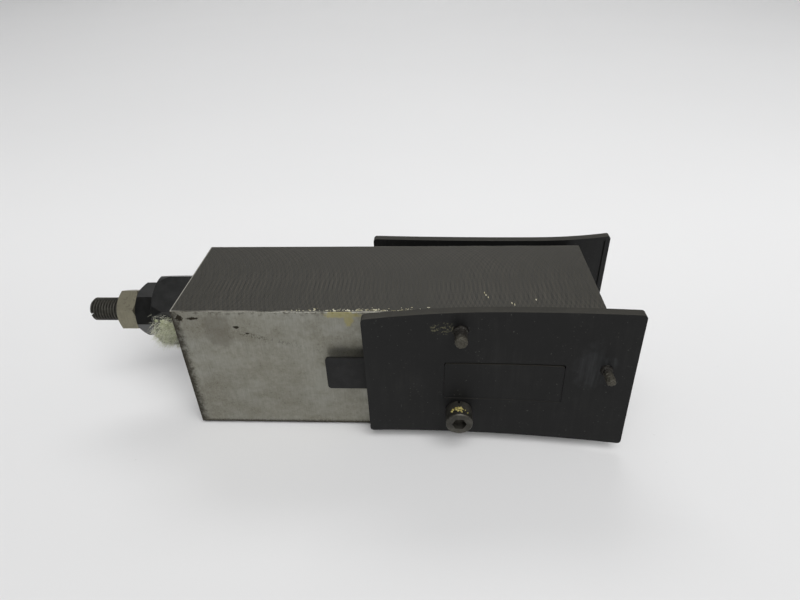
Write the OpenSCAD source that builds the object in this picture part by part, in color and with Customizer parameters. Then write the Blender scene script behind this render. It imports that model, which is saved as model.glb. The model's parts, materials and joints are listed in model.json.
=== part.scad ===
// Pneumatic gripper: a single-acting cylinder in a steel block drives a
// two-sided wedge, and the wedge pushes a bowed plastic jaw plate out of each side.
// The origin is the middle of the block's base. X runs along the block, from the
// adjusting screw to the open end of the jaws, and Z points up.

/* [Body] */
// Length of the steel block
body_l = 132; // [131:0.5:133]
// Width of the block, across the jaws
body_w = 41; // [40.5:0.5:42]
// Height of the block
body_h = 48; // [47.5:0.5:49]
// Chamfer along the bottom edges
base_chamfer = 1; // [0.5:0.1:1.5]
// Chamfer along the top edges
top_chamfer = 0.3; // [0.2:0.1:0.6]

/* [Cylinder] */
// Height of the cylinder's axis above the base
axis_z = 34.6; // [34.2:0.1:34.8]
// Diameter of the cylinder's bore
bore_d = 20; // [19.5:0.5:20]
// Diameter of the piston rod
rod_d = 8; // [7.5:0.5:8]
// Travel of the piston
stroke = 12; // [8:1:12]
// Wire thickness of the return spring
spring_wire = 1.6; // [1.2:0.1:1.8]
// Number of turns of the return spring
spring_turns = 8; // [6:1:8]

/* [Adjuster] */
// Size across the flats of the end cap
cap_af = 23; // [22.5:0.5:23]
// Length of the end cap's hexagon
cap_l = 12.5; // [12:0.5:14]
// Size across the flats of the gland nut
gland_af = 16; // [15:0.5:17]
// Length of the gland nut's hexagon
gland_l = 7.2; // [6:0.2:8]
// Size across the flats of the lock nut
lock_af = 13; // [12.5:0.5:13.5]
// Height of the lock nut
lock_l = 6.5; // [5:0.5:7]
// Thread diameter of the adjusting screw
screw_d = 8; // [7.9:0.1:8]
// Thread pitch of the adjusting screw
screw_pitch = 1; // [1:0.25:1.25]
// How far the screw stands out of the lock nut
screw_out = 11.3; // [9:0.1:12]

/* [Jaws] */
// Height of the jaws' centre line above the base
jaw_z = 26.1; // [26:0.1:26.2]
// Jaw travel for each millimetre of piston travel
wedge_slope = 0.25; // [0.2:0.01:0.25]
// Half of the wedge's thickness at its middle
wedge_half = 8; // [7.8:0.1:8.2]
// Length of the wedge
wedge_l = 29; // [28.5:0.5:29]
// Height of the wedge
wedge_h = 27; // [26:0.5:28]
// How far each flag runs out past the left end of its plate
flag_out = 13.1; // [8:0.1:16]

/* [Jaw plates] */
// Length of the front jaw plate
plate_l = 80.6; // [79:0.1:81]
// Length of the rear jaw plate
rear_plate_l = 86; // [84:0.1:86.4]
// Height of a jaw plate
plate_h = 48; // [47:0.5:48]
// Thickness of a jaw plate
plate_t = 2.8; // [2.4:0.1:3]
// Distance of the front plate's middle from the middle of the block, along X
plate_x = 34.2; // [33.9:0.1:34.3]
// Distance of the rear plate's middle from the middle of the block, along X
rear_plate_x = 35.9; // [35.5:0.1:36]
// How far each plate is shifted along its own height from the jaws' centre line
plate_shift = 2; // [1:0.5:2]
// Bend radius of the front plate, left of its resting line
front_bow_left = 150; // [145:5:200]
// Bend radius of the front plate, right of its resting line
front_bow_right = 380; // [350:10:400]
// Lean of the front plate's resting line from upright, in degrees
front_bow_lean = 32; // [0:1:35]
// Bend radius of the rear plate, left of its resting line
rear_bow_left = 950; // [900:10:1500]
// Bend radius of the rear plate, right of its resting line
rear_bow_right = 110; // [100:1:150]
// How far the pins and the cap screws stand out of the plates
stud_out = 6; // [5:0.5:7]

/* [Hidden] */
$fn = 96;
cut = 1;                          // how far a cutting shape runs past the face it cuts
fit = 0.05;                       // running clearance of turning and sliding fits
guide_gap = 0.1;                  // clearance of the jaws in their slot

// stations along X, from the left end
left_x = -body_l / 2;
right_x = body_l / 2;
cap_face_x = left_x - cap_l;
gland_face_x = cap_face_x - gland_l;
washer_t = 0.5;
nut_face_x = gland_face_x - washer_t - lock_l;
screw_end_x = nut_face_x - screw_out;
mouth_d = 22;                     // threaded mouth that takes the end cap
mouth_x = left_x + 11;            // inner end of the mouth
bore_end_x = left_x + 60;         // inner end of the cylinder bore
slot_x0 = left_x + 81;            // left end of the jaw slot
slot_h = 35;
slot_corner_r = 3;
piston_x0 = mouth_x + 4;
piston_l = 12;
piston_x1 = piston_x0 + piston_l;
wedge_x0 = slot_x0 + 0.2;
wedge_x1 = wedge_x0 + wedge_l;
slot_x1 = wedge_x1 + stroke + 2.8; // right end, clear of the wedge at the end of its travel
wedge_mid = (wedge_x0 + wedge_x1) / 2;

// end cap and adjusting screw
spigot_r = mouth_d / 2 - fit;
recess_r = 7;
recess_x = mouth_x - 5;
gland_spigot_l = 4.5;
gland_r = 6;
packing_l = 1.5;
packing_x = cap_face_x + gland_spigot_l;
tail_x = left_x - 3;              // where the screw's bore narrows for its tail
tail_r = 2.95;
tail_tip_x = left_x + 6;
thread_end_x = tail_x - 4.6;      // clear of the narrow bore with the screw turned in
thread_hole_r = screw_d / 2 + fit;
slot_w = 1.2;
slot_deep = 1.8;

// rod and its fastenings
m5_r = 2.5;
m5_head_r = 4.25;
m5_head_l = 5;
m5_socket_af = 4;
bush_r = 7;
rod_seal_l = 4;
bush_x1 = slot_x0 - 2;
seat_t = 1.5;
rod_tip_x = mouth_x - 1.2;

// return spring
spring_x0 = piston_x1 + 0.1;
spring_x1 = bore_end_x - seat_t - 0.1;
spring_r = 7.6;
spring_sides = 8;
spring_steps = 20;                // steps for each turn

// jaw carrier, in the front jaw's own frame: x as in the gripper, y = 0 on the
// mid plane with the outside at negative y, z = 0 on the jaws' centre line
flange_gap = 0.2;
plate_gap = 3.2;                  // from the block's side to the plate's inner face
flag_t = 0.8;
flag_h = 12.6;
flag_x1 = 16.8;
flange_x0 = 2;
flange_x1 = 62;
flange_h = 38;
flange_y = body_w / 2 + plate_gap - fit;
window_x0 = 18;
window_l = 36.4;
window_h = 14.6;
window_gap = 0.2;
insert_t = 1.8;
insert_gap = 0.1;                 // between an insert's ends and its window
insert_top_gap = 0.75;
insert_set_back = 0.1;
land_y = body_w / 2 + plate_gap + plate_t - insert_t - 0.1;
face_y = body_w / 2 + plate_gap + plate_t;
bow_x = 17.9;                     // where the front plate's resting line crosses z = 0
rear_bow_x = 52;
screw_at = [22.9, -12.6];         // x and z of the plate's cap screw
pad_pin_at = [22.6, 19.1];
end_pin_at = [66.2, 6.3];
pad_pin_r = 2;
end_pin_r = 1.5;
pin_collar = 0.35;                // how much wider each pin is in its plate
pin_collar_out = 0.8;             // how far that wider part stands out of the plate
pin_chamfer = 0.4;
rivet_x = [5.5, 12.5];
rivet_r = 1.5;
plate_reach = 75;                 // a plate's curved stock, before it is cut to size
plate_stock = 130;
plate_deep = 25;
lock_washer_t = 1;

// interfaces in the block
base_hole_r = 2.5;
base_hole_deep = 12;
base_hole_x = [-56, 4];
base_hole_y = [-13, 13];
dowel_r = 2.5;
dowel_deep = 8;
dowel_x = [-41, -11];
port_r = 4.4;
port_deep = 8.5;
port_x = mouth_x + 2;
vent_r = 2.5;
vent_deep = 6;
vent_x = -26;
plug_r = 6;

// colours
dark_steel = [0.28, 0.27, 0.25];
steel = [0.62, 0.61, 0.58];
black_oxide = [0.12, 0.12, 0.13];
zinc = [0.62, 0.58, 0.46];
black_plastic = [0.15, 0.15, 0.15];
rubber = [0.07, 0.07, 0.07];
bronze = [0.66, 0.47, 0.24];

// Half of the wedge's thickness at a place along X
function wedge_at(x) = wedge_half - wedge_slope * (x - wedge_mid);

// How far a plate bends away from the block at a place, from its resting line's
// distance and the bend radius on that side
function bend(s, left_r, right_r) = s * s / (2 * (s < 0 ? left_r : right_r));
function line_distance(x, z, lean, line_x) = (x - line_x) * cos(lean) - z * sin(lean);
function front_bend(at) =
    bend(line_distance(at[0], at[1], front_bow_lean, bow_x), front_bow_left, front_bow_right);
function rear_bend(at) =
    bend(line_distance(at[0], at[1], 0, rear_bow_x), rear_bow_left, rear_bow_right);

// A round bar along X, from x0 to x1, on the cylinder's axis
module x_bar(x0, x1, r) {
    translate([x0, 0, axis_z]) rotate([0, 90, 0]) cylinder(h = x1 - x0, r = r);
}

// A solid turned about the cylinder's axis from an outline of [x, radius] points
module x_turned(outline) {
    translate([0, 0, axis_z]) rotate([0, 90, 0])
        rotate_extrude() polygon([for (p = outline) [p[1], p[0]]]);
}

// A hexagonal bar along X. turn = 0 puts a corner at the top, 30 puts a flat there
module x_hexagon(x0, x1, af, turn) {
    translate([x0, 0, axis_z]) rotate([turn, 0, 0]) rotate([0, 90, 0])
        cylinder(h = x1 - x0, r = af / sqrt(3), $fn = 6);
}

// A hexagonal bar whose corners are turned off at one or both ends
module chamfered_hexagon(x0, x1, af, turn, left_cut, right_cut) {
    corner_r = af / sqrt(3);
    intersection() {
        x_hexagon(x0, x1, af, turn);
        x_turned([
            [x0, 0], [x0, corner_r - left_cut * 1.7], [x0 + left_cut, corner_r + 0.01],
            [x1 - right_cut, corner_r + 0.01], [x1, corner_r - right_cut * 1.7], [x1, 0]
        ]);
    }
}

// An O-ring round the cylinder's axis
module x_ring(x, mean_r, section_r) {
    translate([x, 0, axis_z]) rotate([0, 90, 0])
        rotate_extrude($fn = 64) translate([mean_r, 0]) circle(r = section_r, $fn = 24);
}

// Places a jaw piece drawn in the front jaw's frame, on the front or the rear side.
// The rear jaw is the front one given half a turn about the long axis.
module on_front() {
    translate([0, 0, jaw_z]) children();
}

module on_rear() {
    translate([0, 0, jaw_z]) rotate([180, 0, 0]) children();
}

// A round bar that points outward along -Y in the front jaw's frame
module out_bar(at, y0, y1, r) {
    translate([at[0], -y0, at[1]]) rotate([90, 0, 0]) cylinder(h = y1 - y0, r = r);
}

// Steel block

// A long edge's chamfer cutter, at a corner given by its y and z
module edge_cutter(y, z, size) {
    translate([0, y, z]) rotate([45, 0, 0])
        cube([body_l + 2 * cut, size * sqrt(2), size * sqrt(2)], center = true);
}

module block_blank() {
    difference() {
        translate([left_x, -body_w / 2, 0]) cube([body_l, body_w, body_h]);
        for (side = [-1, 1]) {
            edge_cutter(side * body_w / 2, 0, base_chamfer);
            edge_cutter(side * body_w / 2, body_h, top_chamfer);
        }
    }
}

module jaw_slot() {
    slot_l = slot_x1 - slot_x0;
    translate([(slot_x0 + slot_x1) / 2, 0, jaw_z]) rotate([90, 0, 0])
        linear_extrude(height = body_w + 2 * cut, center = true)
            rounded_rectangle(slot_l, slot_h, slot_corner_r);
}

// A rectangle with round corners, centred, as four corner discs and two bars
module rounded_rectangle(l, h, r) {
    square([l - 2 * r, h], center = true);
    square([l, h - 2 * r], center = true);
    for (x = [-1, 1], y = [-1, 1]) {
        translate([x * (l / 2 - r), y * (h / 2 - r)]) circle(r = r, $fn = 32);
    }
}

module body_block() {
    color(dark_steel) difference() {
        block_blank();
        x_bar(left_x - cut, mouth_x, mouth_d / 2);
        x_bar(mouth_x - fit, bore_end_x, bore_d / 2);
        x_bar(bore_end_x - fit, bush_x1, bush_r);
        x_bar(bush_x1 - fit, slot_x0 + cut, rod_d / 2 + 0.5);
        jaw_slot();
        x_bar(slot_x1 - cut, right_x + cut, plug_r);
        for (x = base_hole_x, y = base_hole_y) {
            translate([x, y, -cut]) cylinder(h = base_hole_deep + cut, r = base_hole_r);
        }
        for (x = dowel_x) {
            translate([x, 0, -cut]) cylinder(h = dowel_deep + cut, r = dowel_r);
        }
        side_port(port_x, port_r, port_deep, 1.25);
        side_port(vent_x, vent_r, vent_deep, 1);
    }
}

// A stepped hole from the block's rear side into the cylinder
module side_port(x, r, deep, passage_r) {
    translate([x, body_w / 2 + cut, axis_z]) rotate([90, 0, 0]) {
        cylinder(h = deep + cut, r = r);
        cylinder(h = body_w / 2 + cut - bore_d / 2 + cut, r = passage_r);
    }
}

module nose_plug() {
    hex_deep = 4;
    color(black_oxide) difference() {
        x_bar(slot_x1 + 0.5, right_x - 0.3, plug_r);
        x_hexagon(right_x - 0.3 - hex_deep, right_x + cut, 6, 0);
    }
}

module vent_filter() {
    color(bronze) translate([vent_x, body_w / 2 - vent_deep, axis_z]) rotate([-90, 0, 0]) {
        cylinder(h = vent_deep, r = vent_r);
        translate([0, 0, vent_deep]) cylinder(h = 1, r1 = vent_r - 0.3, r2 = 1.2);
    }
}

// End cap and adjusting screw

module end_cap() {
    groove_x = mouth_x - 3.4;
    corner_r = cap_af / sqrt(3) + 0.01;
    color(black_oxide) difference() {
        union() {
            intersection() {
                chamfered_hexagon(cap_face_x, left_x, cap_af, 0, 1.3, 0);
                x_turned([
                    [cap_face_x, 0], [cap_face_x, corner_r - 1.2], [cap_face_x + 4.8, corner_r],
                    [left_x, corner_r], [left_x, 0]
                ]);
            }
            x_turned([
                [left_x - fit, 0], [left_x - fit, spigot_r], [groove_x, spigot_r],
                [groove_x, 9.5], [groove_x + 1.9, 9.5], [groove_x + 1.9, spigot_r],
                [mouth_x, spigot_r], [mouth_x, 0]
            ]);
        }
        x_bar(cap_face_x - cut, packing_x + packing_l, gland_r);
        x_bar(packing_x, tail_x, thread_hole_r);
        x_bar(tail_x - fit, recess_x + fit, tail_r + 0.1);
        x_bar(recess_x, mouth_x + cut, recess_r);
    }
}

module end_cap_seal() {
    color(rubber) x_ring(mouth_x - 2.45, 10.25, 0.72);
}

module gland_nut() {
    color(black_oxide) difference() {
        union() {
            chamfered_hexagon(gland_face_x, cap_face_x, gland_af, 30, 0.9, 0.4);
            x_bar(cap_face_x - fit, packing_x, gland_r - fit);
        }
        x_bar(gland_face_x - cut, packing_x + cut, thread_hole_r);
    }
}

module gland_packing() {
    color(rubber) x_turned([
        [packing_x, thread_hole_r], [packing_x, gland_r - fit],
        [packing_x + packing_l, gland_r - fit], [packing_x + packing_l, thread_hole_r]
    ]);
}

// Thread crests along the screw, as [x, radius] points of an outline
function thread_points(x0, x1, r, pitch, depth) = [
    for (x = [x0 : pitch : x1 - pitch]) each
        [[x, r - depth], [x + 0.38 * pitch, r], [x + 0.62 * pitch, r], [x + pitch, r - depth]]
];

module adjusting_screw() {
    r = screw_d / 2;
    seal_x = left_x + 0.5;
    tip_chamfer = 0.8;
    thread_x0 = screw_end_x + tip_chamfer;
    turns = floor((nut_face_x + 2 - thread_x0) / screw_pitch);
    ringed_x = thread_x0 + turns * screw_pitch;
    color(black_oxide) difference() {
        x_turned(concat(
            [[screw_end_x, 0], [screw_end_x, r - tip_chamfer - 0.1]],
            thread_points(thread_x0, ringed_x + 0.001, r, screw_pitch, 0.55),
            [
                [ringed_x + 0.4, r], [thread_end_x, r], [thread_end_x + 1, tail_r],
                [seal_x - 0.95, tail_r], [seal_x - 0.95, 1.6],
                [seal_x + 0.95, 1.6], [seal_x + 0.95, tail_r],
                [tail_tip_x - 0.5, tail_r], [tail_tip_x, tail_r - 0.5], [tail_tip_x, 0]
            ]
        ));
        translate([screw_end_x - cut, -r - cut, axis_z - slot_w / 2])
            cube([slot_deep + cut, 2 * (r + cut), slot_w]);
    }
}

module screw_seal() {
    color(rubber) x_ring(left_x + 0.5, 2.33, 0.7);
}

module thread_seal_washer() {
    color(bronze) difference() {
        x_bar(gland_face_x - washer_t, gland_face_x, 6.1);
        x_bar(gland_face_x - washer_t - cut, gland_face_x + cut, thread_hole_r + 0.05);
    }
}

module lock_nut() {
    nut_right_x = nut_face_x + lock_l;
    color(zinc) difference() {
        chamfered_hexagon(nut_face_x, nut_right_x, lock_af, 0, 0.6, 0.6);
        x_bar(nut_face_x - cut, nut_right_x + cut, thread_hole_r);
        for (x = [nut_face_x, nut_right_x]) {
            translate([x, 0, axis_z]) rotate([0, 90, 0]) rotate_extrude()
                polygon([[0, -0.6], [4.1, -0.6], [4.6, 0], [4.1, 0.6], [0, 0.6]]);
        }
    }
}

// Piston, rod and return spring

module piston() {
    r = bore_d / 2 - 0.1;
    seal_x = piston_x0 + 1.5;
    ring_x = piston_x0 + 7;
    color(steel) x_turned([
        [piston_x0, m5_r], [piston_x0, r - 0.5], [piston_x0 + 0.5, r],
        [seal_x, r], [seal_x, 7], [seal_x + 3.4, 7], [seal_x + 3.4, r],
        [ring_x, r], [ring_x, 8.5], [ring_x + 3.5, 8.5], [ring_x + 3.5, r],
        [piston_x1 - 0.5, r], [piston_x1, r - 0.5], [piston_x1, m5_r]
    ]);
}

// A lip seal that opens towards the pressure side, at lower x
module lip_seal(x, l, inner_r, outer_r) {
    wall = (outer_r - inner_r) / 3;
    middle_r = (inner_r + outer_r) / 2;
    x_turned([
        [x, inner_r], [x, inner_r + wall * 0.8], [x + l * 0.55, middle_r],
        [x, outer_r - wall * 0.8], [x, outer_r], [x + l, outer_r], [x + l, inner_r]
    ]);
}

module piston_seal() {
    color(rubber) lip_seal(piston_x0 + 1.6, 3.2, 7.05, bore_d / 2 - 0.02);
}

module piston_guide_ring() {
    ring_x = piston_x0 + 7.1;
    ring_l = 3.3;
    ring_r = bore_d / 2 - 0.03;
    split = 1;
    color([0.75, 0.72, 0.65]) difference() {
        x_turned([
            [ring_x, 8.55], [ring_x, ring_r], [ring_x + ring_l, ring_r], [ring_x + ring_l, 8.55]
        ]);
        translate([ring_x - cut, -split / 2, axis_z]) cube([ring_l + 2 * cut, split, bore_d]);
    }
}

module piston_rod() {
    thread_deep = 8;
    color([0.8, 0.8, 0.8]) difference() {
        x_turned([
            [rod_tip_x, 0], [rod_tip_x, m5_r - 0.5], [rod_tip_x + 0.5, m5_r],
            [piston_x1, m5_r], [piston_x1, rod_d / 2], [wedge_x0, rod_d / 2], [wedge_x0, 0]
        ]);
        x_bar(wedge_x0 - thread_deep, wedge_x0 + cut, m5_r);
    }
}

module piston_nut() {
    color(zinc) difference() {
        chamfered_hexagon(mouth_x, piston_x0, 8, 0, 0.5, 0);
        x_bar(mouth_x - cut, piston_x0 + cut, m5_r);
    }
}

// Advance along X after a number of turns: the first and last turns lie close
function spring_x(turn) =
    let (close = spring_wire, open_turns = spring_turns - 2,
         free = spring_x1 - spring_x0 - 3 * spring_wire)
    spring_x0 + spring_wire / 2 + (
        turn < 1 ? close * turn
        : turn > spring_turns - 1 ? close + free + close * (turn - spring_turns + 1)
        : close + free * (turn - 1) / open_turns
    );

module return_spring() {
    steps = spring_turns * spring_steps;
    points = [
        for (i = [0 : steps], k = [0 : spring_sides - 1])
            let (turn = i / spring_steps, around = 360 * turn, side = 360 * k / spring_sides,
                 r = spring_r + spring_wire / 2 * cos(side))
            [spring_x(turn) + spring_wire / 2 * sin(side), r * cos(around), r * sin(around)]
    ];
    walls = [
        for (i = [0 : steps - 1], k = [0 : spring_sides - 1])
            let (next = (k + 1) % spring_sides, a = i * spring_sides, b = a + spring_sides)
            [a + k, a + next, b + next, b + k]
    ];
    ends = [
        [for (k = [spring_sides - 1 : -1 : 0]) k],
        [for (k = [0 : spring_sides - 1]) steps * spring_sides + k]
    ];
    color(steel) translate([0, 0, axis_z]) polyhedron(points, concat(walls, ends));
}

module spring_seat() {
    color(steel) x_turned([
        [bore_end_x - seat_t, rod_d / 2 + 0.3], [bore_end_x - seat_t, bore_d / 2 - 0.1],
        [bore_end_x, bore_d / 2 - 0.1], [bore_end_x, rod_d / 2 + 0.3]
    ]);
}

module rod_seal() {
    color(rubber) lip_seal(bore_end_x, rod_seal_l, rod_d / 2 + 0.02, bush_r - 0.02);
}

module rod_bush() {
    x0 = bore_end_x + rod_seal_l;
    color(bronze) x_turned([
        [x0, rod_d / 2 + fit], [x0, bush_r], [bush_x1, bush_r], [bush_x1, rod_d / 2 + fit]
    ]);
}

// Wedge

// Frame of the wedge's front face: x along the slope, +y into the wedge
module on_slope() {
    translate([wedge_mid, -wedge_half, 0]) rotate([0, 0, atan(wedge_slope)]) children();
}

// The hooked groove in the wedge's front face, open at both ends
module wedge_groove() {
    groove_l = wedge_l * 1.4;
    on_slope() {
        translate([-groove_l / 2, -cut, -1.65]) cube([groove_l, cut + 1.4, 3.3]);
        translate([-groove_l / 2, 1.2, -2.95]) cube([groove_l, 1.8, 5.9]);
    }
}

module wedge() {
    color(steel) difference() {
        translate([0, 0, jaw_z]) difference() {
            translate([0, 0, -wedge_h / 2]) linear_extrude(height = wedge_h) polygon([
                [wedge_x0, -wedge_at(wedge_x0)], [wedge_x1, -wedge_at(wedge_x1)],
                [wedge_x1, wedge_at(wedge_x1)], [wedge_x0, wedge_at(wedge_x0)]
            ]);
            wedge_groove();
            rotate([180, 0, 0]) wedge_groove();
        }
        x_bar(wedge_x0 - cut, wedge_x1 + cut, m5_r);
        x_bar(wedge_x1 - m5_head_l - 0.4, wedge_x1 + cut, m5_head_r + 0.05);
    }
}

module wedge_screw() {
    head_x = wedge_x1 - 0.4;
    color(black_oxide) difference() {
        union() {
            x_bar(head_x - m5_head_l, head_x, m5_head_r);
            x_bar(wedge_x0 - 7, head_x - m5_head_l + fit, m5_r);
        }
        x_hexagon(head_x - 2.5, head_x + cut, m5_socket_af, 0);
    }
}

// Jaw carriers, in the front jaw's frame

module jaw_rib() {
    rib_x0 = -2;
    rib_l = 22;
    on_slope() {
        translate([rib_x0, -cut, -1.5]) cube([rib_l, cut + 1.35, 3]);
        translate([rib_x0, 1.3, -2.8]) cube([rib_l, 1.5, 5.6]);
    }
}

module jaw_carrier() {
    x0 = slot_x0 + guide_gap;
    x1 = slot_x1 - guide_gap;
    guide_h = slot_h - 2 * guide_gap;
    root_y = body_w / 2 + flange_gap;
    flange_t = flange_y - root_y;
    window_mid = window_x0 + window_l / 2;
    difference() {
        union() {
            intersection() {
                translate([0, 0, -guide_h / 2]) linear_extrude(height = guide_h) polygon([
                    [x0, -root_y - fit], [x1, -root_y - fit],
                    [x1, -wedge_at(x1) - fit], [x0, -wedge_at(x0) - fit]
                ]);
                translate([(x0 + x1) / 2, 0, 0]) rotate([90, 0, 0])
                    linear_extrude(height = body_w + 4)
                        rounded_rectangle(x1 - x0, guide_h, slot_corner_r);
            }
            translate([(flange_x0 + flange_x1) / 2, -root_y, 0]) rotate([90, 0, 0])
                linear_extrude(height = flange_t)
                    rounded_rectangle(flange_x1 - flange_x0, flange_h, 2);
            translate([window_mid, -flange_y + fit, 0]) rotate([90, 0, 0])
                linear_extrude(height = land_y - flange_y + fit) rounded_rectangle(
                    window_l - 2 * window_gap, window_h - 2 * window_gap, 0.6);
            jaw_rib();
        }
        translate([flange_x0 - cut, -flange_y - cut, -flag_h / 2 - fit])
            cube([flag_x1 - flange_x0 + cut + fit, flag_t + cut, flag_h + 2 * fit]);
        out_bar(screw_at, face_y - 14, face_y, m5_r);
        for (x = rivet_x) {
            out_bar([x, 0], root_y - cut, flange_y, rivet_r);
        }
    }
}

module jaw_front() {
    color(black_oxide) on_front() jaw_carrier();
}

module jaw_rear() {
    color(black_oxide) on_rear() jaw_carrier();
}

// The strip behind each plate, which tells a switch where the jaw stands
module flag() {
    flag_x0 = plate_x - plate_l / 2 - flag_out;
    l = flag_x1 - flag_x0;
    inner_y = flange_y - flag_t;
    difference() {
        translate([flag_x0 + l / 2, -inner_y, 0]) rotate([90, 0, 0])
            linear_extrude(height = flag_t) rounded_rectangle(l, flag_h, 1.2);
        for (x = rivet_x) {
            out_bar([x, 0], inner_y - cut, flange_y + cut, rivet_r);
        }
    }
}

module flag_front() {
    color(black_plastic) on_front() flag();
}

module flag_rear() {
    color(black_plastic) on_rear() flag();
}

module flag_rivets() {
    for (x = rivet_x) {
        out_bar([x, 0], body_w / 2 + flange_gap, flange_y, rivet_r);
    }
}

module flag_rivets_front() {
    color(steel) on_front() flag_rivets();
}

module flag_rivets_rear() {
    color(steel) on_rear() flag_rivets();
}

// Jaw plates, in the front jaw's frame

// A layer of the plate's curved section on one side of its resting line, between two
// depths below its outer face
module bow_half(r, side, from, to) {
    intersection() {
        translate([side < 0 ? -plate_reach : 0, -face_y - plate_deep])
            square([plate_reach, plate_deep + 5]);
        translate([0, -face_y - r]) difference() {
            circle(r = r + to, $fn = 180);
            circle(r = r + from, $fn = 180);
        }
    }
}

// A layer of the curved sheet that a plate is cut from
module bowed_sheet(left_r, right_r, lean, line_x, from, to) {
    translate([line_x, 0, 0]) rotate([0, lean, 0])
        linear_extrude(height = plate_stock, center = true) {
            bow_half(left_r, -1, from, to);
            bow_half(right_r, 1, from, to);
        }
}

module jaw_plate(mid_x, l, left_r, right_r, lean, line_x) {
    groove_w = 0.8;
    groove_deep = 0.4;
    groove_in = 2.6;
    groove_end = 1.2;
    difference() {
        intersection() {
            bowed_sheet(left_r, right_r, lean, line_x, 0, plate_t);
            translate([mid_x, -body_w / 2, plate_shift]) rotate([90, 0, 0])
                linear_extrude(height = plate_deep) rounded_rectangle(l, plate_h, 1.2);
        }
        translate([window_x0 + window_l / 2, -body_w / 2, 0]) rotate([90, 0, 0])
            linear_extrude(height = plate_deep) rounded_rectangle(window_l, window_h, 0.8);
        out_bar(screw_at, body_w / 2, face_y + 10, m5_r + 0.25);
        out_bar(pad_pin_at, body_w / 2, face_y + 10, pad_pin_r + pin_collar);
        out_bar(end_pin_at, body_w / 2, face_y + 15, end_pin_r + pin_collar);
        intersection() {
            translate([
                mid_x + l / 2 - groove_in, -body_w / 2 - plate_deep,
                plate_shift - plate_h / 2 + groove_end
            ])
                cube([groove_w, plate_deep, plate_h - 2 * groove_end]);
            bowed_sheet(left_r, right_r, lean, line_x, plate_t - groove_deep, plate_t + cut);
        }
    }
}

module plate_front() {
    color(black_plastic) on_front()
        jaw_plate(plate_x, plate_l, front_bow_left, front_bow_right, front_bow_lean, bow_x);
}

module plate_rear() {
    color(black_plastic) on_rear()
        jaw_plate(rear_plate_x, rear_plate_l, rear_bow_left, rear_bow_right, 0, rear_bow_x);
}

// The insert pressed into a plate's window, almost flush with the plate
module window_insert(left_r, right_r, lean, line_x) {
    h = window_h - insert_top_gap - fit;
    intersection() {
        bowed_sheet(left_r, right_r, lean, line_x, insert_set_back, insert_t);
        translate([window_x0 + window_l / 2, -body_w / 2, (fit - insert_top_gap) / 2])
            rotate([90, 0, 0]) linear_extrude(height = plate_deep)
                rounded_rectangle(window_l - 2 * insert_gap, h, 0.7);
    }
}

module insert_front() {
    color(black_plastic) on_front()
        window_insert(front_bow_left, front_bow_right, front_bow_lean, bow_x);
}

module insert_rear() {
    color(black_plastic) on_rear()
        window_insert(rear_bow_left, rear_bow_right, 0, rear_bow_x);
}

// Plate fastenings and pins. bend_here is how far the plate stands off at that place.

function seat_y(bend_here) = face_y + bend_here + 0.15;

module lock_washer(bend_here) {
    y = seat_y(bend_here);
    difference() {
        out_bar(screw_at, y, y + lock_washer_t, m5_head_r - 0.05);
        out_bar(screw_at, y - cut, y + lock_washer_t + cut, m5_r + 0.1);
        translate([screw_at[0] - 0.4, -y - lock_washer_t - cut, screw_at[1] + m5_r - 0.2])
            cube([0.8, lock_washer_t + 2 * cut, 3]);
    }
}

module plate_screw(bend_here) {
    edge = 0.3;
    socket_deep = 2.5;
    head_y = seat_y(bend_here) + lock_washer_t;
    head_end_y = head_y + m5_head_l;
    difference() {
        union() {
            out_bar(screw_at, face_y - 13, head_y + fit, m5_r);
            out_bar(screw_at, head_y, head_end_y - edge, m5_head_r);
            translate([screw_at[0], -head_end_y + edge + fit, screw_at[1]]) rotate([90, 0, 0])
                cylinder(h = edge + fit, r1 = m5_head_r, r2 = m5_head_r - edge);
        }
        translate([screw_at[0], -head_end_y + socket_deep, screw_at[1]]) rotate([90, 0, 0])
            cylinder(h = socket_deep + cut, r = m5_socket_af / sqrt(3), $fn = 6);
    }
}

module stud(at, r, bend_here) {
    inner_y = face_y - plate_t + bend_here;
    collar_y = face_y + bend_here + pin_collar_out;
    tip_y = face_y + bend_here + stud_out;
    out_bar(at, inner_y, collar_y, r + pin_collar);
    out_bar(at, collar_y - fit, tip_y - pin_chamfer, r);
    translate([at[0], -tip_y + pin_chamfer + fit, at[1]]) rotate([90, 0, 0])
        cylinder(h = pin_chamfer + fit, r1 = r, r2 = r - pin_chamfer);
}

module plate_screw_front() {
    color(black_oxide) on_front() plate_screw(front_bend(screw_at));
}

module plate_screw_rear() {
    color(black_oxide) on_rear() plate_screw(rear_bend(screw_at));
}

module lock_washer_front() {
    color(black_oxide) on_front() lock_washer(front_bend(screw_at));
}

module lock_washer_rear() {
    color(black_oxide) on_rear() lock_washer(rear_bend(screw_at));
}

module pad_pin_front() {
    color(steel) on_front() stud(pad_pin_at, pad_pin_r, front_bend(pad_pin_at));
}

module pad_pin_rear() {
    color(steel) on_rear() stud(pad_pin_at, pad_pin_r, rear_bend(pad_pin_at));
}

module end_pin_front() {
    color(steel) on_front() stud(end_pin_at, end_pin_r, front_bend(end_pin_at));
}

module end_pin_rear() {
    color(steel) on_rear() stud(end_pin_at, end_pin_r, rear_bend(end_pin_at));
}

body_block();
end_cap();
end_cap_seal();
gland_nut();
gland_packing();
adjusting_screw();
screw_seal();
thread_seal_washer();
lock_nut();
piston();
piston_seal();
piston_guide_ring();
piston_rod();
piston_nut();
return_spring();
spring_seat();
rod_bush();
rod_seal();
wedge();
wedge_screw();
nose_plug();
vent_filter();
jaw_front();
jaw_rear();
flag_front();
flag_rear();
flag_rivets_front();
flag_rivets_rear();
plate_front();
plate_rear();
insert_front();
insert_rear();
plate_screw_front();
plate_screw_rear();
lock_washer_front();
lock_washer_rear();
pad_pin_front();
pad_pin_rear();
end_pin_front();
end_pin_rear();
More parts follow.
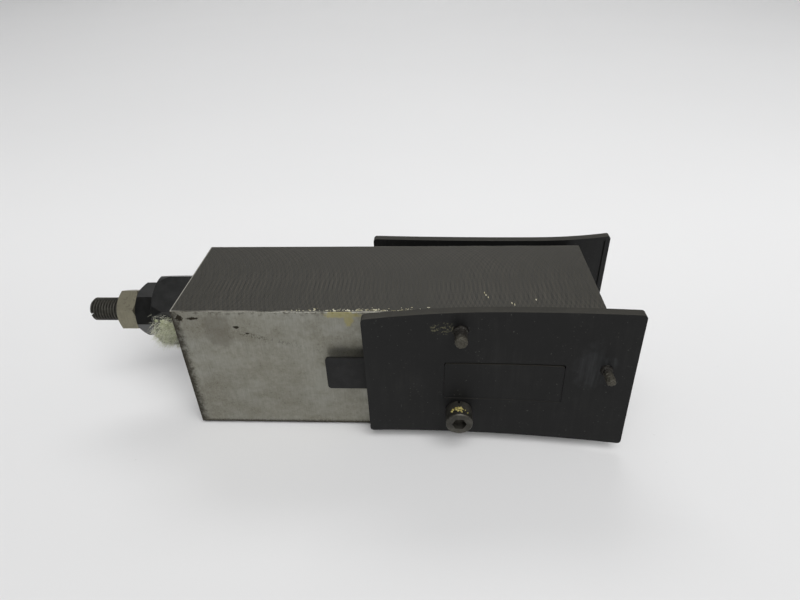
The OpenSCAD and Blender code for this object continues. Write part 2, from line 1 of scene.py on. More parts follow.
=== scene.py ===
"""Looks of the pneumatic gripper: materials, dried sealant, crumbs, studio floor, lights and camera."""
import json
import math
import random

import bmesh
import bpy
from mathutils import Matrix, Vector, noise


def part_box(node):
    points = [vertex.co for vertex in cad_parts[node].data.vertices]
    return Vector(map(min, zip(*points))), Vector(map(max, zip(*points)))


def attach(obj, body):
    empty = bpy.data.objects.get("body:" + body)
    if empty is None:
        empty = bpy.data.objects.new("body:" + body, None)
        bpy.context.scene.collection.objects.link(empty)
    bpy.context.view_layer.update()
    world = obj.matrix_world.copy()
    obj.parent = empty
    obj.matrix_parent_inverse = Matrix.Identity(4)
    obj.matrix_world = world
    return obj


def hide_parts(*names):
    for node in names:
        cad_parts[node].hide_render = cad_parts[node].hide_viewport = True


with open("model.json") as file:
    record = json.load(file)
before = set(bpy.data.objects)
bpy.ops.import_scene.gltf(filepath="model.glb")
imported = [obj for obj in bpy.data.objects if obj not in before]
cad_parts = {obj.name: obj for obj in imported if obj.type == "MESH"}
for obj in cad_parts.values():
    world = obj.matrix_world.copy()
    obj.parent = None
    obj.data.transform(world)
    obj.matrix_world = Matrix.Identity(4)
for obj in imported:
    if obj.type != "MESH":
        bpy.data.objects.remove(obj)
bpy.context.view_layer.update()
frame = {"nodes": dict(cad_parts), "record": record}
scene = bpy.context.scene
nodes = frame["nodes"]
MM = 0.001
THROUGH = 40 * MM  # half size along y of a patch that only x and z shape


# ---------------------------------------------------------------- material graphs

class Look:
    """One node material. Positions are the piece's own, in metres, so a pattern stays on its piece."""

    def __init__(self, name):
        self.material = bpy.data.materials.new(name)
        self.material.use_nodes = True
        self.tree = self.material.node_tree
        self.tree.nodes.clear()
        output = self.tree.nodes.new("ShaderNodeOutputMaterial")
        self.shader = self.tree.nodes.new("ShaderNodeBsdfPrincipled")
        self.tree.links.new(self.shader.outputs[0], output.inputs[0])
        coordinates = self.tree.nodes.new("ShaderNodeTexCoord")
        self.place = coordinates.outputs["Object"]
        self.normal = coordinates.outputs["Normal"]
        split = self.node("ShaderNodeSeparateXYZ", [self.place])
        self.x, self.y, self.z = split.outputs
        self.up = self.node("ShaderNodeSeparateXYZ", [self.normal]).outputs[2]

    def node(self, kind, values=(), **settings):
        made = self.tree.nodes.new(kind)
        for key, value in settings.items():
            setattr(made, key, value)
        for socket, value in zip(made.inputs, values):
            self.feed(socket, value)
        return made

    def feed(self, socket, value):
        if isinstance(value, bpy.types.NodeSocket):
            self.tree.links.new(value, socket)
        elif value is not None:
            socket.default_value = value

    def calc(self, operation, a, b=None, c=None):
        return self.node("ShaderNodeMath", [a, b, c], operation=operation).outputs[0]

    def plus(self, a, b):
        return self.calc("ADD", a, b)

    def times(self, a, b):
        return self.calc("MULTIPLY", a, b)

    def step(self, value, low, high):
        """0 at low and 1 at high, smooth between. Low may be above high."""
        made = self.node("ShaderNodeMapRange", [value, low, high, 0.0, 1.0],
                         interpolation_type="SMOOTHSTEP")
        return made.outputs[0]

    def noise(self, size, detail=4.0, stretch=(1, 1, 1), roughness=0.55, shift=0.0):
        """Cloudy noise about 0.5, with features of a size in metres, longer along a stretched axis."""
        mapped = self.node("ShaderNodeMapping")
        self.feed(mapped.inputs["Vector"], self.place)
        mapped.inputs["Location"].default_value = (shift, shift * 0.7, shift * 1.3)
        mapped.inputs["Scale"].default_value = [1 / (size * s) for s in stretch]
        made = self.node("ShaderNodeTexNoise")
        self.feed(made.inputs["Vector"], mapped.outputs[0])
        made.inputs["Scale"].default_value = 1.0
        made.inputs["Detail"].default_value = detail
        made.inputs["Roughness"].default_value = roughness
        return made.outputs[0]

    def spots(self, size, amount, shift=0.0, stretch=(1, 1, 1)):
        """Small scattered specks: 1 in a speck. Amount is about the share of cells that hold one."""
        cloud = self.noise(size, 1.0, stretch, 0.4, shift)
        return self.step(cloud, 0.78 - amount, 0.84 - amount)

    def mix(self, share, a, b):
        made = self.node("ShaderNodeMix", data_type="RGBA", clamp_factor=True)
        self.feed(made.inputs[0], share)
        for socket, value in ((made.inputs[6], a), (made.inputs[7], b)):
            if isinstance(value, tuple):
                value = (*value, 1.0)
            self.feed(socket, value)
        return made.outputs[2]

    def blend(self, share, a, b):
        """A number between a and b."""
        made = self.node("ShaderNodeMix", data_type="FLOAT", clamp_factor=True)
        for socket, value in zip((made.inputs[0], made.inputs[2], made.inputs[3]), (share, a, b)):
            self.feed(socket, value)
        return made.outputs[0]

    def scale(self, colour, factor):
        """A colour made brighter or darker by a number."""
        made = self.node("ShaderNodeVectorMath", operation="SCALE")
        self.feed(made.inputs[0], colour)
        self.feed(made.inputs["Scale"], factor)
        return made.outputs[0]

    def both(self, *masks):
        result = masks[0]
        for mask in masks[1:]:
            result = self.times(result, mask)
        return result

    def either(self, *masks):
        result = masks[0]
        for mask in masks[1:]:
            result = self.calc("MAXIMUM", result, mask)
        return result

    def blob(self, centre, reach, ragged=0.6, size=0.002, shift=0.0):
        """A soft ragged patch about a point. Reach is its half size along x, y and z."""
        offset = self.node("ShaderNodeVectorMath", operation="SUBTRACT")
        self.feed(offset.inputs[0], self.place)
        offset.inputs[1].default_value = centre
        scaled = self.node("ShaderNodeVectorMath", operation="MULTIPLY")
        self.feed(scaled.inputs[0], offset.outputs[0])
        scaled.inputs[1].default_value = [1 / r for r in reach]
        length = self.node("ShaderNodeVectorMath", operation="LENGTH")
        self.feed(length.inputs[0], scaled.outputs[0])
        cloud = self.calc("SUBTRACT", self.noise(size, 3.0, shift=shift), 0.5)
        distance = self.plus(length.outputs["Value"], self.times(cloud, 2 * ragged))
        return self.step(distance, 1.0, 0.55)

    def bump(self, height, depth, strength):
        """Relief: height from 0 to 1 stands for a depth in metres."""
        made = self.node("ShaderNodeBump")
        self.feed(made.inputs["Height"], height)
        made.inputs["Distance"].default_value = depth
        made.inputs["Strength"].default_value = strength
        return made.outputs[0]

    def finish(self, colour, metallic, roughness, normal, specular):
        """Feeds the shader and gives the finished material."""
        inputs = self.shader.inputs
        self.feed(inputs["Base Color"], colour)
        self.feed(inputs["Metallic"], metallic)
        self.feed(inputs["Roughness"], roughness)
        self.feed(inputs["Normal"], normal)
        inputs["Specular IOR Level"].default_value = specular
        return self.material


def fly_cutter_arcs(look):
    """The arcs that a fly cutter leaves on its way out and back, as a wave about 0."""
    cutter_r, cutter_y, feed = 34 * MM, -6 * MM, 1.45 * MM
    across = look.calc("SUBTRACT", look.y, cutter_y)
    inside = look.calc("SUBTRACT", cutter_r ** 2, look.times(across, across))
    reach = look.calc("SQRT", look.calc("MAXIMUM", inside, 0.0))
    pattern = 0.0
    for turn in (1, -1):
        wander = look.times(look.noise(30 * MM, 2.0, shift=turn), 1.2 * MM)
        run = look.plus(look.plus(look.x, look.times(reach, turn)), wander)
        for pitch, gain in ((feed, 0.55), (feed / 2.3, 0.35), (feed * 2.7, 0.2)):
            wave = look.calc("SINE", look.times(run, 2 * math.pi / pitch))
            pattern = look.plus(pattern, look.times(wave, gain))
    return pattern


def milled_faces(look, low, high, arcs, grain):
    """Colour of darkened milled steel with pits, rubbed bright along its edges."""
    patchy = look.noise(18 * MM, 3.0, shift=5.0)
    strength = look.blend(look.step(patchy, 0.3, 0.7), 0.18, 0.42)
    shade = look.plus(look.plus(0.55, look.times(grain, 0.9)), look.times(arcs, strength))
    colour = look.mix(patchy, (0.026, 0.025, 0.020), (0.036, 0.033, 0.026))
    colour = look.scale(colour, shade)
    pits = look.spots(0.5 * MM, 0.05, 9.0)
    colour = look.mix(pits, colour, (0.02, 0.018, 0.014))
    crest = look.step(look.z, high.z - 0.36 * MM, high.z - 0.05 * MM)
    near_edge = look.step(look.calc("ABSOLUTE", look.y), high.y - 0.5 * MM, high.y - 0.25 * MM)
    broken = look.step(look.noise(3 * MM, 4.0, (3, 1, 1)), 0.38, 0.62)
    colour = look.mix(look.both(crest, near_edge, broken), colour, (0.22, 0.21, 0.18))
    end_edge = look.both(look.step(look.x, low.x + 0.5 * MM, low.x + 0.1 * MM),
                         look.step(look.z, high.z - 1.2 * MM, high.z - 0.2 * MM))
    return look.mix(end_edge, colour, (0.25, 0.24, 0.21))


def side_marks(look, low, high, mottle, fine):
    """Where a ground side has dark dents, a scratch that runs down from them, dirty edges, and a dark foot
    band that is painted contact shade with some grime.
    """
    marks = []
    for from_left, at_z, half_x, half_z in ((2.2, 45.4, 1.5, 1.5), (6.4, 45.3, 2.2, 0.7),
                                            (19.6, 41.9, 1.3, 0.6), (22.8, 39.6, 0.8, 0.5)):
        centre = (low.x + from_left * MM, low.y, at_z * MM)
        marks.append(look.blob(centre, (half_x * MM, THROUGH, half_z * MM), 0.7, 0.7 * MM, from_left))
    scratch_x, scratch_z, slope = low.x + 19 * MM, 40.2 * MM, -0.29
    line_z = look.plus(look.times(look.calc("SUBTRACT", look.x, scratch_x), slope), scratch_z)
    off_line = look.calc("ABSOLUTE", look.calc("SUBTRACT", look.z, line_z))
    scratch = look.both(look.step(off_line, 1.3 * MM, 0.2 * MM),
                        look.step(look.x, low.x + 18 * MM, low.x + 20 * MM),
                        look.step(look.x, low.x + 56 * MM, low.x + 24 * MM),
                        look.step(fine, 0.50, 0.66))
    marks.append(look.times(scratch, 0.6))
    left = look.plus(look.x, look.times(mottle, -5.0 * MM))
    marks.append(look.times(look.step(left, low.x + 0.6 * MM, low.x - 2.2 * MM), 0.9))
    # Painted contact shade with some grime: a near-black band along the foot of the front side, darkest at
    # the bottom edge.
    foot_shade_and_grime = look.plus(look.z, look.times(fine, -1.4 * MM))
    marks.append(look.times(look.step(foot_shade_and_grime, 1.9 * MM, 0.5 * MM), 0.9))
    top = look.both(look.step(look.z, high.z - 2.2 * MM, high.z - 0.6 * MM),
                    look.step(mottle, 0.5, 0.62))
    marks.append(look.times(top, 0.45))
    return look.either(*marks)


def ground_sides(look, low, high, lines, slant):
    """Colour of the ground steel sides, and where dirt takes their shine."""
    cloud = look.noise(13 * MM, 5.0, (1.3, 1, 0.9), 0.62, 2.0)
    mottle = look.noise(1.5 * MM, 6.0, (1, 1, 1), 0.7, 4.0)
    fine = look.noise(0.45 * MM, 3.0, (1, 1, 1.4), 0.6, 6.0)
    front = look.step(look.y, 0.0, low.y)

    hair = look.plus(look.times(lines, 0.45), look.times(slant, 0.45))
    bare = look.mix(look.noise(22 * MM, 3.0, shift=8.0), (0.240, 0.242, 0.218), (0.285, 0.280, 0.238))
    bare = look.scale(bare, look.plus(0.58, look.plus(hair, look.times(fine, 0.10))))

    film = look.step(look.plus(cloud, look.times(mottle, 0.4)), 0.52, 0.90)
    film = look.times(film, look.plus(0.15, fine))
    low_dirt = look.step(look.plus(look.z, look.times(mottle, 9 * MM)), 13 * MM, 5 * MM)
    high_dirt = look.both(look.step(look.z, high.z - 7 * MM, high.z - 1 * MM),
                          look.step(mottle, 0.42, 0.62))
    film = look.either(film, look.times(low_dirt, 0.15), look.times(high_dirt, 0.40))
    colour = look.mix(film, bare, (0.150, 0.138, 0.102))

    hand = look.blob((low.x + 13.8 * MM, low.y, 41 * MM), (6 * MM, THROUGH, 8.5 * MM), 0.7, 5 * MM)
    hand = look.both(hand, front)
    colour = look.mix(look.times(hand, 0.40), colour, (0.085, 0.074, 0.056))
    freckle = look.both(look.spots(0.8 * MM, 0.13, 11.0), look.step(cloud, 0.42, 0.66))
    colour = look.mix(look.times(freckle, 0.45), colour, (0.060, 0.050, 0.034))
    # Marks on the front side: dents, a scratch, dirty edges, and painted contact shade with some grime along
    # the foot.
    marks = look.both(side_marks(look, low, high, mottle, fine), front)
    colour = look.mix(marks, colour, (0.022, 0.018, 0.012))

    smudge = look.blob((-13.0 * MM, low.y, 47.0 * MM), (7 * MM, THROUGH, 1.6 * MM), 0.8, 1.8 * MM)
    drip = look.blob((-11.0 * MM, low.y, 44.6 * MM), (1.9 * MM, THROUGH, 2.6 * MM), 0.7, 1.2 * MM)
    sealer = look.both(look.either(smudge, drip), front)
    colour = look.mix(look.times(sealer, 0.55), colour, (0.330, 0.290, 0.090))
    return colour, look.either(film, sealer, look.times(hand, 0.8))


def block_steel():
    """Milled, darkened steel with fly-cutter arcs, and ground, grimy sides."""
    low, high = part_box("body_block")
    look = Look("block_steel")
    side = look.calc("GREATER_THAN", look.calc("ABSOLUTE", look.y), high.y - 0.1 * MM)
    arcs = fly_cutter_arcs(look)
    grain = look.noise(0.4 * MM, 5.0, (1, 1.6, 1), 0.75)
    lines = look.noise(0.16 * MM, 3.0, (1, 1, 60))
    slant = look.noise(0.5 * MM, 4.0, (1, 1, 12), shift=3.0)
    ground, dirty = ground_sides(look, low, high, lines, slant)
    colour = look.mix(side, milled_faces(look, low, high, arcs, grain), ground)
    metallic = look.both(side, look.blend(dirty, 0.92, 0.45))
    milled_rough = look.plus(0.46, look.times(arcs, 0.07))
    ground_rough = look.blend(dirty, look.plus(0.22, look.times(lines, 0.16)), 0.55)
    roughness = look.blend(side, milled_rough, ground_rough)
    milled_relief = look.plus(look.times(arcs, 0.35), look.times(grain, 0.5))
    ground_relief = look.plus(look.times(lines, 0.10), look.times(slant, 0.12))
    relief = look.blend(side, milled_relief, ground_relief)
    return look.finish(colour, metallic, roughness, look.bump(relief, 0.03 * MM, 0.6), 0.22)


def middle(name):
    low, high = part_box(name)
    return (low + high) / 2


def plate_plastic():
    """Moulded black plastic: matt, rubbed, dusty on its upper edge."""
    pad_pin, end_pin = middle("pad_pin_front"), middle("end_pin_front")
    plate_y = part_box("plate_front")[0].y
    through = 90 * MM
    look = Look("plate_plastic")
    front = look.calc("LESS_THAN", look.y, 0.0)
    cloud = look.noise(16 * MM, 4.0, (1.4, 1, 1), 0.6)
    streak = look.noise(1.6 * MM, 4.0, (0.7, 1, 9), 0.6, 3.0)
    grain = look.noise(0.3 * MM, 3.0, shift=1.0)
    colour = look.mix(cloud, (0.0045, 0.0046, 0.0047), (0.0080, 0.0080, 0.0078))
    rub = look.step(look.plus(look.times(streak, 0.5), look.times(cloud, 0.5)), 0.48, 0.70)
    colour = look.mix(look.times(rub, 0.35), colour, (0.018, 0.018, 0.017))
    settled = look.plus(0.35, look.times(look.noise(2.4 * MM, 5.0, (2, 1, 1), shift=7.0), 0.9))
    dust = look.times(look.step(look.up, 0.35, 0.9), settled)
    colour = look.mix(dust, colour, (0.040, 0.038, 0.032))

    smear_at = (pad_pin.x - 5.6 * MM, plate_y, pad_pin.z + 1.2 * MM)
    smear = look.blob(smear_at, (4.2 * MM, through, 2.6 * MM), 0.7, 1.6 * MM)
    specks = look.step(look.noise(0.7 * MM, 2.0, shift=12.0), 0.50, 0.60)
    smear = look.both(smear, specks, front)
    colour = look.mix(look.times(smear, 0.8), colour, (0.100, 0.095, 0.060))
    haze_at = (end_pin.x - 4.5 * MM, plate_y, end_pin.z + 1.5 * MM)
    haze = look.blob(haze_at, (7 * MM, through, 9 * MM), 1.0, 6 * MM)
    haze = look.both(haze, look.step(streak, 0.25, 0.75), front)
    colour = look.mix(look.times(haze, 0.45), colour, (0.034, 0.036, 0.038))
    stray = look.spots(0.6 * MM, 0.05, 21.0)
    colour = look.mix(look.times(stray, 0.5), colour, (0.080, 0.080, 0.070))

    roughness = look.plus(0.40, look.times(cloud, 0.14))
    roughness = look.blend(look.either(dust, smear), roughness, 0.8)
    relief = look.plus(look.times(grain, 0.35), look.times(streak, 0.5))
    return look.finish(colour, 0.0, roughness, look.bump(relief, 0.04 * MM, 0.5), 0.20)


def oxide(name, dark, light, metallic=1.0, gloss=0.36, rust=0.0):
    """Blackened steel with worn, lighter patches."""
    look = Look(name)
    cloud = look.noise(4 * MM, 5.0, (1, 1, 1), 0.65)
    grain = look.noise(0.25 * MM, 3.0, (3, 1, 1), shift=2.0)
    colour = look.mix(look.step(cloud, 0.35, 0.7), dark, light)
    dirt = look.step(look.noise(1.8 * MM, 5.0, shift=6.0), 0.55, 0.75)
    colour = look.mix(look.times(dirt, rust), colour, (0.060, 0.045, 0.028))
    roughness = look.plus(gloss, look.times(cloud, 0.16))
    relief = look.plus(look.times(grain, 0.5), look.times(cloud, 0.5))
    return look.finish(colour, metallic, roughness, look.bump(relief, 0.03 * MM, 0.5), 0.3)


def zinc_plate():
    """Dull yellowish zinc with stamped, streaky flats."""
    look = Look("zinc_plate")
    cloud = look.noise(2.6 * MM, 5.0, (1, 1, 1), 0.6)
    streak = look.noise(0.35 * MM, 4.0, (1, 8, 8), 0.6, 1.0)
    colour = look.mix(cloud, (0.190, 0.178, 0.125), (0.270, 0.252, 0.190))
    colour = look.scale(colour, look.plus(0.72, look.times(streak, 0.5)))
    dirt = look.step(look.noise(1.2 * MM, 5.0, shift=4.0), 0.54, 0.72)
    colour = look.mix(look.times(dirt, 0.7), colour, (0.055, 0.045, 0.030))
    roughness = look.plus(0.34, look.times(streak, 0.16))
    return look.finish(colour, look.blend(dirt, 0.8, 0.2), roughness, look.bump(streak, 0.04 * MM, 0.6), 0.4)


def turned_metal(name, colour_a, colour_b, gloss=0.22, ridges=0.2):
    """Metal turned in a lathe about the x axis, with fine tool lines."""
    look = Look(name)
    tool = look.noise(ridges * MM, 3.0, (1, 60, 60))
    cloud = look.noise(5 * MM, 4.0, shift=3.0)
    colour = look.mix(cloud, colour_a, colour_b)
    colour = look.scale(colour, look.plus(0.82, look.times(tool, 0.36)))
    roughness = look.plus(gloss, look.times(tool, 0.14))
    return look.finish(colour, 1.0, roughness, look.bump(tool, 0.02 * MM, 0.5), 0.5)


def soft_matter(name, colour_a, colour_b, size, roughness=0.75, relief=0.05, specular=0.3):
    """Rubber, plastic, dried sealant: matt and mottled."""
    look = Look(name)
    cloud = look.noise(size, 5.0, roughness=0.65)
    fine = look.noise(size / 5, 4.0, shift=2.0)
    colour = look.mix(look.step(cloud, 0.3, 0.7), colour_a, colour_b)
    shade = look.plus(0.75, look.times(fine, 0.5))
    rough = look.plus(roughness - 0.06, look.times(fine, 0.12))
    normal = look.bump(fine, relief * MM, 0.7)
    return look.finish(look.scale(colour, shade), 0.0, rough, normal, specular)


def pin_steel():
    """Dirty dark pins with a paler, rubbed tip."""
    low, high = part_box("pad_pin_front")
    look = Look("pin_steel")
    out = look.calc("ABSOLUTE", look.y)
    cloud = look.noise(1.1 * MM, 5.0)
    tip = look.step(look.plus(out, look.times(cloud, 2 * MM)),
                    -low.y - 2.2 * MM, -low.y + 0.6 * MM)
    colour = look.mix(cloud, (0.012, 0.011, 0.010), (0.030, 0.027, 0.022))
    colour = look.mix(look.times(tip, 0.6), colour, (0.080, 0.074, 0.056))
    return look.finish(colour, 0.35, look.plus(0.42, look.times(cloud, 0.2)),
                       look.bump(cloud, 0.08 * MM, 0.6), 0.35)


def floor_paper():
    """Pale paper with a few flecks, and painted shade that makes it a little darker towards the camera."""
    look = Look("floor_paper")
    cloud = look.noise(0.25, 3.0)
    group = look.step(look.noise(25 * MM, 2.0, shift=5.0), 0.6, 0.7)
    fleck = look.both(look.spots(1.3 * MM, 0.0, 2.0), group)
    colour = look.mix(cloud, (0.80, 0.80, 0.80), (0.83, 0.83, 0.83))
    colour = look.mix(look.times(fleck, 0.25), colour, (0.45, 0.45, 0.44))
    # Painted shade: the paper's colour falls to 0.84 of itself towards the camera, standing in for light
    # falling off.
    near = look.step(look.y, 0.16, -0.12)
    colour = look.scale(colour, look.blend(near, 1.0, 0.84))
    return look.finish(colour, 0.0, 0.7, look.bump(look.noise(0.6 * MM, 3.0), 0.05 * MM, 0.3), 0.2)


materials = {
    "block_steel": block_steel(),
    "plate_plastic": plate_plastic(),
    "black_oxide": oxide("black_oxide", (0.048, 0.049, 0.048), (0.060, 0.060, 0.059), 1.0, 0.27, 0.15),
    "dark_screw": oxide("dark_screw", (0.050, 0.048, 0.042), (0.110, 0.105, 0.090), 0.8, 0.42, 0.6),
    "black_strip": oxide("black_strip", (0.008, 0.008, 0.008), (0.014, 0.014, 0.014), 0.2, 0.45, 0.15),
    "zinc_plate": zinc_plate(),
    "bright_steel": turned_metal("bright_steel", (0.46, 0.45, 0.43), (0.56, 0.55, 0.53)),
    "hard_chrome": turned_metal("hard_chrome", (0.66, 0.67, 0.68), (0.72, 0.73, 0.74), 0.06, 0.1),
    "spring_steel": turned_metal("spring_steel", (0.22, 0.21, 0.20), (0.34, 0.33, 0.31), 0.30, 0.6),
    "bronze": turned_metal("bronze", (0.42, 0.26, 0.11), (0.52, 0.34, 0.16), 0.34, 0.3),
    "seal_rubber": soft_matter("seal_rubber", (0.010, 0.010, 0.010), (0.022, 0.022, 0.022), 1.5 * MM),
    "guide_plastic": soft_matter("guide_plastic", (0.52, 0.48, 0.38), (0.66, 0.62, 0.52), 2 * MM, 0.5),
    "pin_steel": pin_steel(),
}
for part in frame["record"]["subparts"]:
    mesh = nodes[part["node"]].data
    mesh.materials.clear()
    mesh.materials.append(materials[part["material_slot"]])


# ---------------------------------------------------------------- pieces

def new_piece(name, bm, material, body, smooth=True):
    """Makes a piece from bm, with one material, that rides a body."""
    mesh = bpy.data.meshes.new(name)
    bmesh.ops.recalc_face_normals(bm, faces=bm.faces)
    bm.to_mesh(mesh)
    bm.free()
    for face in mesh.polygons:
        face.use_smooth = smooth
    mesh.materials.append(material)
    piece = bpy.data.objects.new(name, mesh)
    scene.collection.objects.link(piece)
    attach(piece, body)
    return piece


def apply_modifiers(piece):
    """Turns the piece's modifiers into plain mesh."""
    evaluated = piece.evaluated_get(bpy.context.evaluated_depsgraph_get())
    mesh = bpy.data.meshes.new_from_object(evaluated)
    piece.modifiers.clear()
    old = piece.data
    piece.data = mesh
    bpy.data.meshes.remove(old)


def screw_rings(bm, low, high, centre_z):
    """The screw's skin along x: a helical thread, a plain shank, a neck and a thinner point."""
    around = 48
    r = (high.z - low.z) / 2
    pitch, depth, chamfer = 1.0 * MM, 0.58 * MM, 0.8 * MM
    thread_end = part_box("lock_nut")[1].x - 2 * MM
    # along one pitch, and height over the root
    profile = ((0.0, 1.0), (0.16, 1.0), (0.40, 0.1), (0.50, 0.0), (0.60, 0.1), (0.84, 1.0))
    shank_r, point_r = r - 0.02 * MM, 2.95 * MM
    neck = high.x - 13.6 * MM
    plain = [(thread_end + 1.0 * MM, shank_r), (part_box("end_cap")[0].x + 4 * MM, shank_r),
             (neck, shank_r), (neck + 1 * MM, point_r),
             (high.x - 0.5 * MM, point_r), (high.x, point_r - 0.5 * MM)]

    def corner(x, radius, angle):
        return bm.verts.new((x, radius * math.sin(angle), centre_z + radius * math.cos(angle)))

    rings = []
    turns = int((thread_end - low.x) / pitch) + 1
    for along, height in ((k + along, height) for k in range(turns) for along, height in profile):
        ring = []
        for i in range(around):
            x = low.x - pitch + (along + i / around) * pitch
            edge = min(1.0, max(0.0, (x - low.x) / chamfer))
            limit = r - chamfer * 0.95 * (1 - edge)
            radius = min(r - depth * (1 - height), limit)
            ring.append(corner(min(max(x, low.x), thread_end), radius, 2 * math.pi * i / around))
        rings.append(ring)
    for x, radius in plain:
        rings.append([corner(x, radius, 2 * math.pi * i / around) for i in range(around)])
    return rings


def cut_slot(screw, x, z):
    """Saws a screwdriver slot through the end at x."""
    bm = bmesh.new()
    size = Matrix.Diagonal((3.6 * MM, 12 * MM, 1.2 * MM, 1))
    bmesh.ops.create_cube(bm, size=1.0, matrix=Matrix.Translation((x, 0, z)) @ size)
    mesh = bpy.data.meshes.new("slot_cutter")
    bm.to_mesh(mesh)
    bm.free()
    cutter = bpy.data.objects.new("slot_cutter", mesh)
    scene.collection.objects.link(cutter)
    cut = screw.modifiers.new("slot", "BOOLEAN")
    cut.operation = "DIFFERENCE"
    cut.solver = "EXACT"
    cut.object = cutter
    apply_modifiers(screw)
    bpy.data.objects.remove(cutter)


def join_rings(bm, rings):
    """Walls between one ring and the next, and a face over each end."""
    for a, b in zip(rings, rings[1:]):
        for i in range(len(a)):
            j = (i + 1) % len(a)
            bm.faces.new((a[i], a[j], b[j], b[i]))
    bm.faces.new(rings[0][::-1])
    bm.faces.new(rings[-1])


def threaded_screw():
    """The adjusting screw with a true helical thread and a screwdriver slot."""
    low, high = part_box("adjusting_screw")
    centre_z = (low.z + high.z) / 2
    bm = bmesh.new()
    join_rings(bm, screw_rings(bm, low, high, centre_z))
    bmesh.ops.remove_doubles(bm, verts=bm.verts, dist=0.004 * MM)
    screw = new_piece("screw_thread", bm, materials["dark_screw"], "adjusting_screw", False)
    cut_slot(screw, low.x, centre_z)
    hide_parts("adjusting_screw")


def lump(bm, centre, radius, squash, seed, rough, detail=2):
    """One irregular lump: a ball pushed in and out by noise and flattened along its axes."""
    made = bmesh.ops.create_icosphere(bm, subdivisions=detail, radius=1.0)
    offset = Vector((seed * 3.1, seed * 1.7, seed * 5.3))
    for vertex in made["verts"]:
        direction = vertex.co.normalized()
        push = 1 + rough * noise.fractal(direction * 1.7 + offset, 0.8, 2.1, 4)
        point = Vector((direction.x * squash[0], direction.y * squash[1], direction.z * squash[2]))
        vertex.co = centre + point * radius * push


def fibre(bm, start, direction, length, thickness, bend, sides=4, steps=5):
    """One fine bent hair, tapering to its end."""
    across = direction.orthogonal().normalized()
    other = direction.cross(across)
    rings = []
    for k in range(steps + 1):
        t = k / steps
        centre = start + direction * (length * t) + bend * (t * t)
        radius = thickness * (1 - 0.8 * t)
        ring = []
        for i in range(sides):
            angle = 2 * math.pi * i / sides
            outward = across * math.cos(angle) + other * math.sin(angle)
            ring.append(bm.verts.new(centre + outward * radius))
        rings.append(ring)
    join_rings(bm, rings)


def dried_sealant():
    """Pale, fluffy dried sealant on the lower front of the end cap, against the block."""
    low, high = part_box("end_cap")
    face_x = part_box("body_block")[0].x
    rng = random.Random(7)
    axis_z = (low.z + high.z) / 2
    r = (high.z - low.z) / 2
    bm = bmesh.new()
    for k in range(44):
        angle = math.radians(rng.triangular(-22, 40, 6))
        x = face_x - rng.triangular(2.6, 12.0, 7.2) * MM
        near = 0.86 + 0.06 * rng.random()
        centre = Vector((x, -math.cos(angle) * r * near, axis_z - math.sin(angle) * r * near))
        size = rng.uniform(0.5, 1.15) * MM
        lump(bm, centre, size, (1.1, 0.8, 1.0), k + 1, 0.7, 3)
    piece = new_piece("dried_sealant", bm, sealant_look, "body")
    remesh = piece.modifiers.new("join", "REMESH")
    remesh.mode = "VOXEL"
    remesh.voxel_size = 0.22 * MM
    apply_modifiers(piece)
    for face in piece.data.polygons:
        face.use_smooth = True


def sealant_fibres():
    """Loose fibres standing out of the dried sealant."""
    low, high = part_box("end_cap")
    face_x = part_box("body_block")[0].x
    rng = random.Random(19)
    axis_z = (low.z + high.z) / 2
    r = (high.z - low.z) / 2
    bm = bmesh.new()
    for _ in range(1500):
        angle = math.radians(rng.triangular(-28, 46, 8))
        x = face_x - rng.triangular(0.8, 13.0, 7.2) * MM
        outward = Vector((0, -math.cos(angle), -math.sin(angle)))
        start = Vector((x, 0, axis_z)) + outward * (r * rng.uniform(0.88, 0.98))
        lean = Vector((rng.uniform(-1.2, 0.3), rng.uniform(-0.4, 0.4), rng.uniform(-0.6, 0.4)))
        direction = (outward + lean * 0.8).normalized()
        bend = Vector((rng.uniform(-1, 1), rng.uniform(-1, 1), rng.uniform(-1, 0.5))) * 0.9 * MM
        fibre(bm, start, direction, rng.uniform(0.7, 2.4) * MM, rng.uniform(0.03, 0.06) * MM, bend)
    new_piece("sealant_fibres", bm, fibre_look, "body")


def crumbs():
    """Broken bits of dried sealant along the block's top front edge and beside the front plate."""
    low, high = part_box("body_block")
    rng = random.Random(31)
    bm = bmesh.new()
    for k in range(260):
        x = rng.triangular(-32, 50, -4) * MM
        spread = abs(rng.gauss(0, 0.6)) * MM
        centre = Vector((x, low.y + 0.25 * MM + spread, high.z + 0.02 * MM))
        size = rng.uniform(0.06, 0.20) * MM * (1.5 if rng.random() < 0.12 else 1.0)
        squash = (rng.uniform(0.8, 2.4), rng.uniform(0.6, 1.1), rng.uniform(0.35, 0.7))
        lump(bm, centre, size, squash, k + 50, 0.6, 1)
    on_top = ((31, -11.4), (30.6, -10.2), (31.6, -12.6), (38.5, -15.8), (39.2, -16.6), (46, -14))
    for k, (x, y) in enumerate(on_top):
        lump(bm, Vector((x * MM, y * MM, high.z)), 0.22 * MM, (0.7, 2.4, 0.35), k + 300, 0.6)
    new_piece("sealant_crumbs", bm, crumb_look, "body", smooth=False)


def screw_residue():
    """A dab of yellow residue on the upper side of the front cap screw's head."""
    low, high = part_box("plate_screw_front")
    centre_x, centre_z = (low.x + high.x) / 2, (low.z + high.z) / 2
    r = (high.x - low.x) / 2
    rng = random.Random(3)
    bm = bmesh.new()
    for k in range(22):
        angle = math.radians(rng.gauss(4, 17))
        y = low.y + rng.uniform(1.0, 3.2) * MM
        at = Vector((centre_x + math.sin(angle) * r, y, centre_z + math.cos(angle) * r))
        lump(bm, at, rng.uniform(0.18, 0.42) * MM, (1.1, 1.1, 0.6), k + 400, 0.6)
    new_piece("screw_residue", bm, residue_look, "jaw_front")


